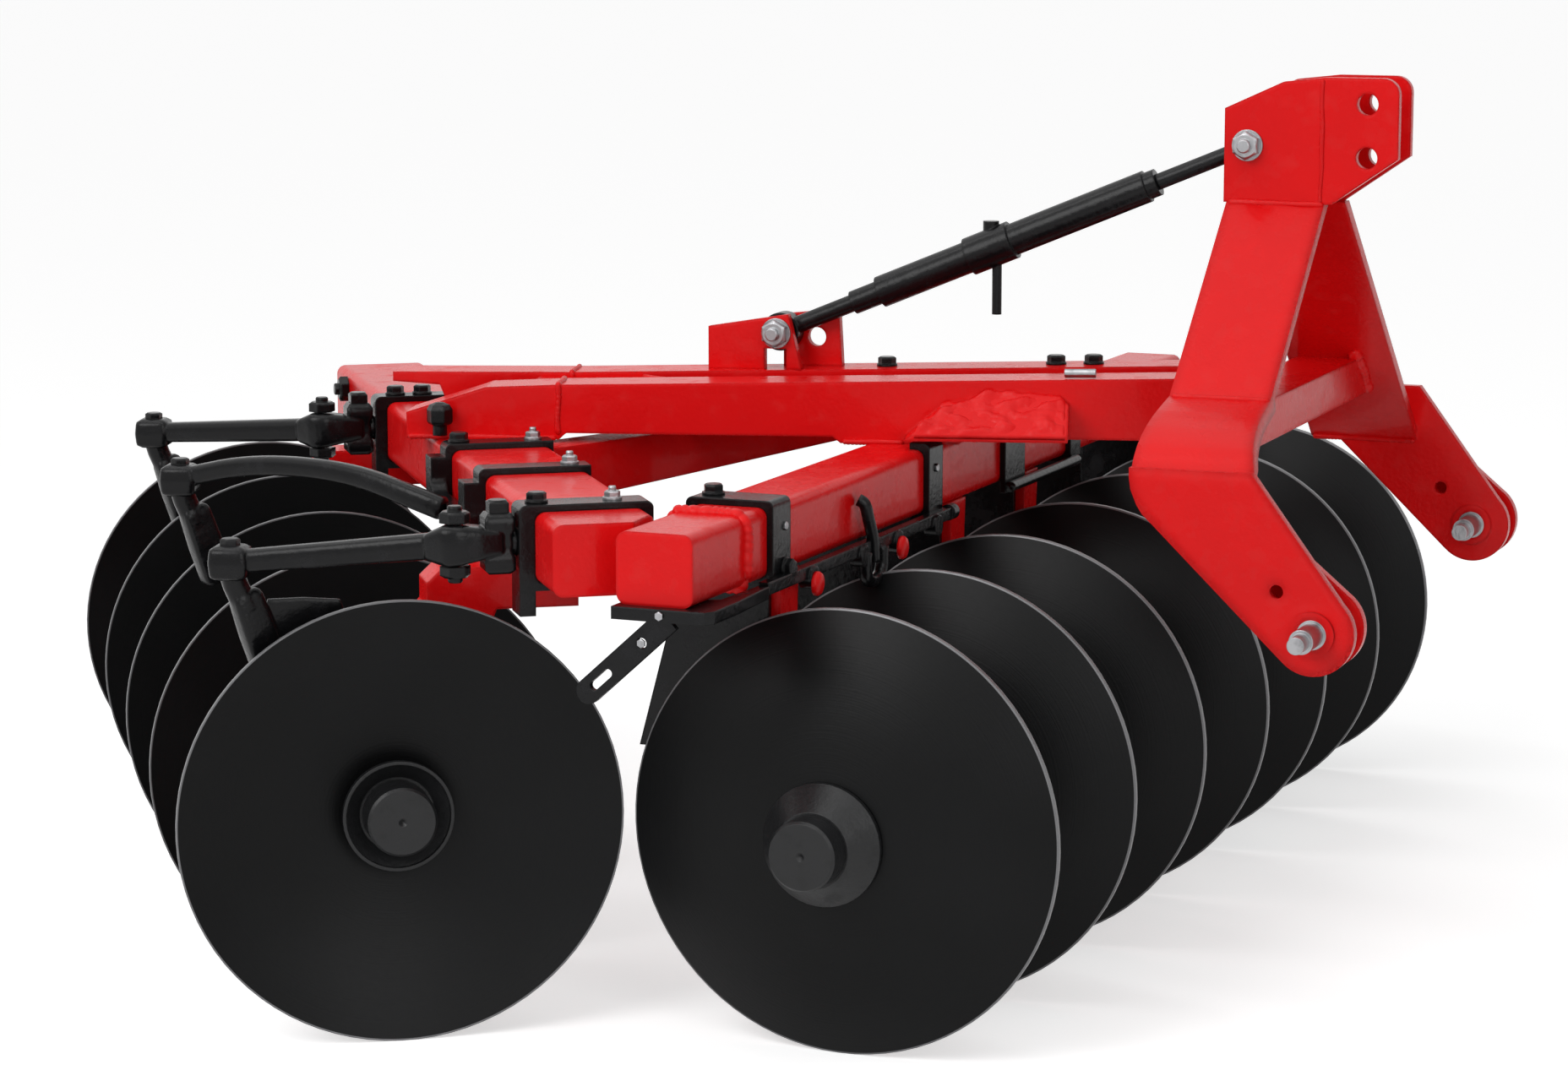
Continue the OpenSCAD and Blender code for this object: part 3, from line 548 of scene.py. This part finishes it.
def wedge_weld():
    """Rings across the wedge on the right rail: its top, the lower of outline and slope, under rows
    of weld scales and lumps, z = ground + rows * (1 + scales) + lumps, which fade out at the edge,
    and an underside just below it."""
    x = np.linspace(*WEDGE_LENGTH, WEDGE_GRID[0])
    y = np.linspace(*WEDGE_WIDTH, WEDGE_GRID[1])
    gx, gy = np.meshgrid(x, y, indexing="ij")
    slope = WEDGE_CREST - (WEDGE_START - gy) * WEDGE_SLOPE
    ground = np.minimum(np.interp(gx, *WEDGE_OUTLINE), slope)
    lane = (gy + 3.0 * np.sin(gx / 31.0)) % WEDGE_LANE / (0.5 * WEDGE_LANE) - 1.0
    rows = 2.6 * np.sqrt(1.0 - lane ** 2)
    scales = 0.12 * np.sin((gx + 3.0 * lane ** 2) / 1.3 + 2.0 * np.sin(gx / 17.0))
    coarse = np.sin(gx / 8.0 + 1.7 * np.sin(gy / 6.0)) * np.sin(gy / 9.0 + 1.1 * np.sin(gx / 23.0))
    fine = np.sin(gx / 4.1 + 0.9 * np.sin(gy / 3.7))
    slow = np.sin(gx / 29.0 + gy / 11.0)
    lumps = 3.0 * coarse + (0.8 * fine + 0.9 * slow)
    edge = np.minimum.reduce([gx - x[0], x[-1] - gx, y[0] - gy, gy - y[-1]])
    height = (rows * (1.0 + scales) + lumps) * np.clip(edge / WEDGE_FADE, 0.0, 1.0) - WEDGE_SINK
    top = np.stack([gx, gy, ground + height], axis=-1)
    under = np.stack([gx, gy, ground - WEDGE_SKIN], axis=-1)[:, ::-1]
    return RAIL.at(np.concatenate([top, under], axis=1))


def signed_power(wave, power):
    """A wave raised to a power with its sign kept."""
    return np.sign(wave) * np.abs(wave) ** power


def bar(corners, side, width, height, square, blunt):
    """Rings of a forged bar along a path: centre + width * c * right + height * s * up, where c and
    s are the cosine and sine of the angle to the power 2 / square with their sign. Width and height
    run evenly through the given values, and the ends are rounded over the blunt length."""
    path, along = resample(corners, BAR_STEP)
    ahead = unit(np.gradient(path, axis=0))
    side = np.asarray(side, float)
    right = unit(side - (ahead @ side)[:, None] * ahead)
    up = np.cross(ahead, right)
    share = along / along[-1]
    near_end = np.clip(np.minimum(along, along[-1] - along) / blunt, 0.0, 1.0)
    taper = BLUNT + (1.0 - BLUNT) * np.sqrt(1.0 - (1.0 - near_end) ** 2)
    width = np.interp(share, np.linspace(0.0, 1.0, len(width)), width) / MM_PER_M * taper
    height = np.interp(share, np.linspace(0.0, 1.0, len(height)), height) / MM_PER_M * taper
    angle = turn_angles(BAR_SIDES)
    c = signed_power(np.cos(angle), 2.0 / square)
    s = signed_power(np.sin(angle), 2.0 / square)
    across = width[:, None, None] * c[:, None] * right[:, None, :]
    upward = height[:, None, None] * s[:, None] * up[:, None, :]
    return path[:, None, :] + across + upward


def turned(place, centre, axis, rows):
    """Rings about an axis: centre + height * axis + radius * (cos a * right + sin a * up). A row is
    radius, height and number of flats, 0 for round; on flats the radius is divided by the cosine of
    the angle from the nearest flat's middle. All in millimetres."""
    rows = np.asarray(rows, float)
    axis = unit(np.asarray(axis, float))
    lead = UP if abs(axis[2]) < 0.9 else FORE
    right = unit(np.cross(lead, axis))
    up = np.cross(axis, right)
    angle = turn_angles(TURNED_SIDES)
    flats = rows[:, 2:3]
    period = 2.0 * np.pi / np.maximum(flats, 1.0)
    flat = 1.0 / np.cos((angle[None] + period / 2.0) % period - period / 2.0)
    radius = rows[:, 0:1] * np.where(flats > 0.0, flat, 1.0)
    ring = np.cos(angle)[:, None] * right + np.sin(angle)[:, None] * up
    height = rows[:, 1, None, None] * axis
    return place.at(np.asarray(centre, float) + height + radius[:, :, None] * ring[None])


# A head's washer and chamfers, in millimetres or as shares of the head's height and width.
WASHER_THICK = 3.0
CHAMFER_START = 0.82
CHAMFER_TOP = 0.9
SHANK_SHARE = 0.55
TIP_SHARE = 0.47
TIP_CHAMFER = 1.5


def hex_head(width, height, washer=0.0, end=0.0, flats=6):
    """Rows of a bolt head or nut on a washer, with a chamfered top and the end of its bolt."""
    low = WASHER_THICK if washer else 0.0
    top = low + height
    rows = [[washer, 0.0, 0], [washer, low, 0]] if washer else []
    rows += [
        [width, low, flats],
        [width, low + CHAMFER_START * height, flats],
        [CHAMFER_TOP * width, top, 0],
    ]
    if end:
        rows += [
            [SHANK_SHARE * width, top, 0],
            [SHANK_SHARE * width, top + end - TIP_CHAMFER, 0],
            [TIP_SHARE * width, top + end, 0],
        ]
    return rows


SEAM_CORNER = 9.0


def box_seam(x0, x1, z0, z1, y):
    """Corners of a seam round a beam section."""
    c = SEAM_CORNER
    return [
        [x1, y, z0 + c], [x1, y, z1 - c], [x1 - c, y, z1], [x0 + c, y, z1], [x0, y, z1 - c],
        [x0, y, z0 + c], [x0 + c, y, z0], [x1 - c, y, z0], [x1, y, z0 + c],
    ]


# Each weld: its frame, the size of its bead and the corners of its line.
WELDS = [
    (FRONT, 2.2, box_seam(-175, -85, 540, 620, -896)),
    (RAIL, 1.2, [[-830, 0, 626], [-830, 0, 688], [-830, 66, 688]]),
    (RAIL, 1.0, [[-830, 127, 640], [-830, 127, 688], [-830, 193, 688]]),
    (RAIL, 1.0, [[-478, 0, 622], [-402, 0, 622]]),
    (RAIL, 1.0, [[-1018, 0, 622], [-832, 0, 622]]),
    (RAIL, 1.0, [[-1018, 127, 622], [-860, 127, 622]]),
    (RAIL, 1.0, [[-478, 127, 622], [-336, 127, 622]]),
    (RAIL, 1.0, [[-870, 66, 679], [-870, 127, 679]]),
    (RAIL, 1.0, [[-680, 67, 684], [-740, 126, 684]]),
    (MAIN, 1.2, [[318, 658, 920], [436, 658, 920]]),
    (MAIN, 1.0, [[318, 736, 920], [444, 736, 920]]),
    (MAIN, 0.8, [[432, 659, 922], [432, 659, 1070]]),
    (MAIN, 1.0, [[318, 424, 712], [436, 424, 712]]),
    (MAIN, 1.0, [[318, 1097, 578], [455, 1097, 578]]),
    (MAIN, 2.4, [[410, 1017, 651], [410, 949, 711]]),
]


class HARROW_OT_welds(bpy.types.Operator):
    """Adds the weld beads of the frame and the rough skin of the welded wedge"""

    bl_idname = "harrow.welds"
    bl_label = "Welds"

    def execute(self, context):
        look = context.scene.harrow_weld
        beads = [bead(place.at(corners), look, size) for place, size, corners in WELDS]
        skin("frame_welds", beads, "red_paint", smooth=True)
        skin("wedge_weld", [wedge_weld()], "red_paint", smooth=True)
        return {"FINISHED"}


LEFT_RAIL = 160
RAIL_TOP = 706.0
RAIL_SLOPE = 0.0214


def rail_top(x):
    """A point on the left rail's top, at a distance along the rail."""
    return [x, LEFT_RAIL, RAIL_TOP + RAIL_SLOPE * x]


# Each bolt: its frame, the point it sits on, its direction and its rows.
BRACE_NUT = hex_head(15.0, 13.0, washer=19.0, end=7.0)
BRACE_HEAD = hex_head(15.0, 10.0, washer=19.0)
BRACE_BOLTS = [
    (MAIN, [341, 659, 989], RIGHT, BRACE_NUT),
    (MAIN, [341, 735, 989], LEFT, BRACE_HEAD),
    (MAIN, [341, 659, 989], LEFT, [[10, 0, 0], [10, 76, 0]]),
    (BRACKET, [0, -28, 740], RIGHT, BRACE_NUT),
    (BRACKET, [0, 28, 740], LEFT, BRACE_HEAD),
    (BRACKET, [0, -28, 740], LEFT, [[10, 0, 0], [10, 56, 0]]),
]
SMALL_HEAD = hex_head(10.0, 9.0, washer=13.0)
SQUARE_HEAD = hex_head(11.0, 16.0, flats=4)
ARM_NUT = hex_head(15.0, 13.0, end=6.0)
STOP_KNOB = [
    [9, 0, 0], [9, 12, 0], [12, 14, 6], [14, 17, 6], [14, 32, 6], [11, 38, 6], [5, 41, 0]
]
DARK_BOLTS = [
    (RAIL, rail_top(-434), UP, SMALL_HEAD),
    (RAIL, rail_top(-221), UP, SMALL_HEAD),
    (RAIL, rail_top(-174), UP, SMALL_HEAD),
    (BEAM, [-198, -600, 568], UP, SMALL_HEAD),
    (BEAM, [-191, -90, 587], UP, SMALL_HEAD),
    (BEAM, [-168, 385, 581], UP, SMALL_HEAD),
    (BEAM, [124, -735, 628], UP, SMALL_HEAD),
    (BEAM, [130, -242, 628], UP, SMALL_HEAD),
    (BEAM, [132, 220, 628], UP, SMALL_HEAD),
    (BEAM, [168, 220, 628], UP, SMALL_HEAD),
    (FRONT, [-160, -814, 628], UP, SMALL_HEAD),
    (FRONT, [-77, -806, 548], FORE, SMALL_HEAD),
    (BEAM, [80, -735, 617], UP, SQUARE_HEAD),
    (BEAM, [82, 220, 617], UP, SQUARE_HEAD),
    (BEAM, [32, -735, 609], UP, ARM_NUT),
    (BEAM, [32, -735, 561], DOWN, ARM_NUT),
    (BEAM, [34, 220, 609], UP, ARM_NUT),
    (BEAM, [34, 220, 561], DOWN, ARM_NUT),
    (BEAM, [118, 528, 598], AFT, ARM_NUT),
    (RAIL, [-975, -17, 626], UP, STOP_KNOB),
]
PLATED_HEAD = hex_head(8.0, 7.0, washer=11.0, end=5.0)
TINY_HEAD = hex_head(4.5, 3.0)
PLATED_BOLTS = [
    (BEAM, [210, -735, 628], UP, PLATED_HEAD),
    (BEAM, [222, -455, 628], UP, PLATED_HEAD),
    (BEAM, [222, -242, 628], UP, PLATED_HEAD),
    (BEAM, [212, 220, 628], UP, PLATED_HEAD),
    (FRONT, [-77, -806, 596], FORE, TINY_HEAD),
    (FRONT, [-77, -325, 596], FORE, TINY_HEAD),
    (FRONT, [-118, -1056, 533], RIGHT, TINY_HEAD),
    (FRONT, [-139, -1056, 502], RIGHT, TINY_HEAD),
]
RAIL_ROD = [[-206, 14, 708], [-168, 10, 709]]
RAIL_ROD_RADIUS = 0.0055


class HARROW_OT_bolts(bpy.types.Operator):
    """Adds bolt heads, nuts and small hardware"""

    bl_idname = "harrow.bolts"
    bl_label = "Bolts"

    def execute(self, context):
        brace = [turned(*bolt) for bolt in BRACE_BOLTS]
        brace_bolts = skin("brace_bolts", brace, "zinc_steel", smooth=False)
        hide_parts("mast_bolt", "bracket_bolt")
        dark = [turned(*bolt) for bolt in DARK_BOLTS]
        skin("dark_bolts", dark, "black_paint", smooth=False)
        plated = [turned(*bolt) for bolt in PLATED_BOLTS]
        plated.append(tube(RAIL.at(RAIL_ROD), RAIL_ROD_RADIUS))
        skin("plated_bolts", plated, "zinc_steel", smooth=False)
        return {"FINISHED"}


# The straight arms: the seat of each on its strap and the head that it reaches, then the jaw round
# the seat, from the boss to the elbow where the arm turns off, and the pin through the jaw.
ARM_SEATS = [
    ([100, -735, 585], [-198, -600, 553]),
    ([102, 220, 585], [-168, 385, 566]),
]
ARM_SIDE = [0.35, 0.94, 0.0]
ARM_BOSS = [[16, 0, 0], [13, 4, 0], [13, 22, 0]]
ELBOW = [-68.0, 0.0, 0.0]
JAW_START = [[-14, 0, 2], [-34, 0, 1]]
JAW_PAST_ELBOW = 34.0
ARM_PAST_ELBOW = 20.0
JAW_PIN_FOOT = [-20, 0, -34]
JAW_PIN = [
    [12, 0, 4], [17, 5, 4], [17, 18, 4], [14, 26, 4],
    [14, 44, 4], [17, 50, 4], [17, 62, 4], [13, 68, 4],
]

# The line of the arched arm, and the heads at the ends of all three.
ARCH = [[92, -348, 562], [62, -332, 574], [-10, -260, 600], [-110, -165, 600], [-191, -90, 574]]
HEADS = [[-198, -600, 553], [-191, -90, 572], [-168, 385, 566]]
HEAD_LINE = [[0, 0, -19], [0, 0, 19]]

# Each forged bar's half widths and half heights in millimetres, how square its section is, and
# the length in metres that its ends are rounded over.
JAW_SIZE = ([16, 22, 25, 15], [14, 19, 24, 14], 5.0, 0.006)
REACH_SIZE = ([14, 13, 12], [15, 14, 13], 3.0, 0.006)
ARCH_SIZE = ([14, 12, 11], [14, 12, 12], 3.0, 0.006)
HEAD_SIZE = ([21, 23, 21], [21, 23, 21], 6.0, 0.006)
SHANK_SIZE = ([13, 15, 13], [18, 20, 20], 5.0, 0.012)
BLADE_SIZE = ([4, 4, 4], [34, 34, 30], 8.0, 0.004)

# What hangs from a head: a leaning stud, a shank and, on the first, a blade.
STUD = [[0, 0, -8], [5, 0, -26], [18, 0, -56]]
STUD_RADIUS = 0.0145
STUD_SIDES = 24
SHANK = [[14, 0, -34], [45, 0, -130]]
SHANK_SIDE = [-0.3, 0.95, 0.0]
BLADE = [[38, 0, -78], [84, 0, -78], [126, 0, -78]]


class HARROW_OT_arms(bpy.types.Operator):
    """Adds the forged scraper arms behind the rear beam and the shanks that hang from them"""

    bl_idname = "harrow.arms"
    bl_label = "Arms"

    def execute(self, context):
        side = BEAM.along(ARM_SIDE)
        arms = []
        for seat, head in np.array(ARM_SEATS, float):
            elbow = seat + ELBOW
            turn = unit(head - elbow)
            jaw = BEAM.at([*(seat + JAW_START), elbow, elbow + JAW_PAST_ELBOW * turn])
            reach = BEAM.at([elbow + ARM_PAST_ELBOW * turn, head])
            arms += [
                turned(BEAM, seat, AFT, ARM_BOSS),
                turned(BEAM, seat + JAW_PIN_FOOT, UP, JAW_PIN),
                bar(jaw, side, *JAW_SIZE),
                bar(reach, side, *REACH_SIZE),
            ]
        arms.append(bar(BEAM.at(bent(ARCH)), side, *ARCH_SIZE))
        heads = np.array(HEADS, float)
        arms += [bar(BEAM.at(head + HEAD_LINE), side, *HEAD_SIZE) for head in heads]
        scraper_arms = skin("scraper_arms", arms, "black_paint", smooth=True)
        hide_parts("rear_scraper_arms")

        hung = []
        for head in heads:
            hung += [
                tube(BEAM.at(head + STUD), STUD_RADIUS, STUD_SIDES),
                bar(BEAM.at(head + SHANK), BEAM.along(SHANK_SIDE), *SHANK_SIZE),
            ]
        hung.append(bar(BEAM.at(heads[0] + BLADE), BEAM.along(LEFT), *BLADE_SIZE))
        scraper_shanks = skin("scraper_shanks", hung, "black_paint", smooth=True)
        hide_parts("rear_scraper_blades")
        return {"FINISHED"}


# The hook bolt's bent line, the loop that it holds and the rod farther along, with their radii.
HOOK = [[-80, -575, 592], [-72, -573, 588], [-70, -569, 570], [-66, -563, 545], [-66, -560, 518]]
HOOK_RADIUS = 0.0075
LOOP = [[-66, -588, 532], [-66, -588, 500], [-66, -560, 494], [-66, -534, 500], [-66, -534, 532]]
LOOP_RADIUS = 0.008
HOOK_ROD = [[-70, -74, 537], [-70, 190, 537]]
HOOK_ROD_RADIUS = 0.007
LUG_CAP = [[14, 0, 0], [14, 3, 0], [12, 6, 0], [6, 8, 0]]
LUGS = [[-61, -753, 523], [-61, -486, 523]]


class HARROW_OT_hooks(bpy.types.Operator):
    """Adds the hook bolt and the scraper lug caps of the front beam"""

    bl_idname = "harrow.hooks"
    bl_label = "Hooks"

    def execute(self, context):
        bolt = [
            tube(FRONT.at(bent(HOOK)), HOOK_RADIUS),
            tube(FRONT.at(bent(LOOP)), LOOP_RADIUS),
            tube(FRONT.at(HOOK_ROD), HOOK_ROD_RADIUS),
        ]
        skin("hook_bolt", bolt, "black_paint", smooth=True)
        caps = [turned(FRONT, lug, FORE, LUG_CAP) for lug in LUGS]
        skin("lug_caps", caps, "red_paint", smooth=True)
        return {"FINISHED"}


WHITE = (1.0, 1.0, 1.0, 1.0)
BLACK = (0.0, 0.0, 0.0, 1.0)
FLOOR_GREY = (0.78, 0.78, 0.78, 1.0)
FLOOR_REACH = 60.0
SENSOR_WIDTH = 36.0

# The place of the sun and the point it is aimed at, then each soft lamp's width, place and target.
SUN_PLACE = (-1.2, -1.6, 5.0)
SUN_TARGET = (0.0, 0.0, 0.4)
SUN_SPREAD = math.radians(100.0)
LAMPS = {
    "key": (2.5, (-1.2, -4.1, 3.1), (0.1, -0.2, 0.5)),
    "glow": (2.0, (3.2, -3.6, 1.9), (0.0, -0.8, 0.25)),
    "strip": (3.2, (-0.2, -0.9, 3.2), (0.0, -0.4, 0.5)),
}
STRIP_DEPTH = 0.25


def aimed(name, data, place, target):
    """Adds a lamp or camera at a place, looking at a target."""
    made = bpy.data.objects.new(name, data)
    made.location = place
    made.rotation_euler = (Vector(target) - Vector(place)).to_track_quat("-Z", "Y").to_euler()
    bpy.context.scene.collection.objects.link(made)
    return made


def area_lamp(name, power):
    """Adds a square soft lamp from the list."""
    width, place, target = LAMPS[name]
    lamp = bpy.data.lights.new(name, "AREA")
    lamp.energy = power
    lamp.size = width
    return aimed(name, lamp, place, target)


class HARROW_OT_stage(bpy.types.Operator):
    """Sets up the white floor, the soft lamps and the camera"""

    bl_idname = "harrow.stage"
    bl_label = "Stage"

    def execute(self, context):
        look = context.scene.harrow_stage
        scene = context.scene
        scene.view_settings.view_transform = "Standard"

        world = bpy.data.worlds.new("studio")
        world.use_nodes = True
        air = Shading(world.node_tree)
        backdrop = world.node_tree.nodes["Background"]
        air.plug(backdrop.inputs["Color"], WHITE)
        air.plug(backdrop.inputs["Strength"], look.sky + (1.0 - look.sky) * air.seen())
        scene.world = world

        reach = FLOOR_REACH
        corners = [(-reach, -reach, 0), (reach, -reach, 0), (reach, reach, 0), (-reach, reach, 0)]
        mesh = bpy.data.meshes.new("floor")
        mesh.from_pydata(corners, [], [(0, 1, 2, 3)])
        floor = bpy.data.objects.new("floor", mesh)
        scene.collection.objects.link(floor)
        finish = Finish("floor")
        finish.set(
            Base_Color=FLOOR_GREY,
            Roughness=1.0,
            Specular_IOR_Level=0.0,
            Emission_Color=finish.mix(finish.seen(), BLACK, WHITE),
            Emission_Strength=look.lift,
        )
        floor.data.materials.append(finish.material)

        sun = bpy.data.lights.new("sun", "SUN")
        sun.energy = look.sun
        sun.angle = SUN_SPREAD
        aimed("sun", sun, SUN_PLACE, SUN_TARGET)
        area_lamp("key", look.key)
        area_lamp("glow", look.glow)
        strip = area_lamp("strip", look.strip)
        strip.data.shape = "RECTANGLE"
        strip.data.size_y = STRIP_DEPTH

        lens = bpy.data.cameras.new("camera")
        lens.lens = look.lens
        lens.sensor_width = SENSOR_WIDTH
        ahead = Vector((
            -math.sin(look.azimuth) * math.cos(look.elevation),
            math.cos(look.azimuth) * math.cos(look.elevation),
            -math.sin(look.elevation),
        ))
        scene.camera = aimed("camera", lens, look.eye, Vector(look.eye) + ahead)
        return {"FINISHED"}


class HARROW_PT_panel(bpy.types.Panel):
    """Lists the steps that dress the harrow"""

    bl_label = "Disc harrow"
    bl_idname = "HARROW_PT_panel"
    bl_space_type = "VIEW_3D"
    bl_region_type = "UI"
    bl_category = "Harrow"

    def draw(self, context):
        for step in STEPS:
            self.layout.operator(step.bl_idname)


STEPS = (
    HARROW_OT_paint,
    HARROW_OT_welds,
    HARROW_OT_bolts,
    HARROW_OT_arms,
    HARROW_OT_hooks,
    HARROW_OT_stage,
)
GROUPS = {"harrow_paint": PaintLook, "harrow_weld": WeldLook, "harrow_stage": StageLook}


def register():
    for item in (*GROUPS.values(), *STEPS, HARROW_PT_panel):
        bpy.utils.register_class(item)
    for name, group in GROUPS.items():
        setattr(bpy.types.Scene, name, bpy.props.PointerProperty(type=group))


def unregister():
    for name in GROUPS:
        delattr(bpy.types.Scene, name)
    for item in reversed((*GROUPS.values(), *STEPS, HARROW_PT_panel)):
        bpy.utils.unregister_class(item)


def main():
    register()
    bpy.ops.harrow.paint()
    bpy.ops.harrow.welds()
    bpy.ops.harrow.bolts()
    bpy.ops.harrow.arms()
    bpy.ops.harrow.hooks()
    bpy.ops.harrow.stage()


if __name__ == "__main__":
    main()
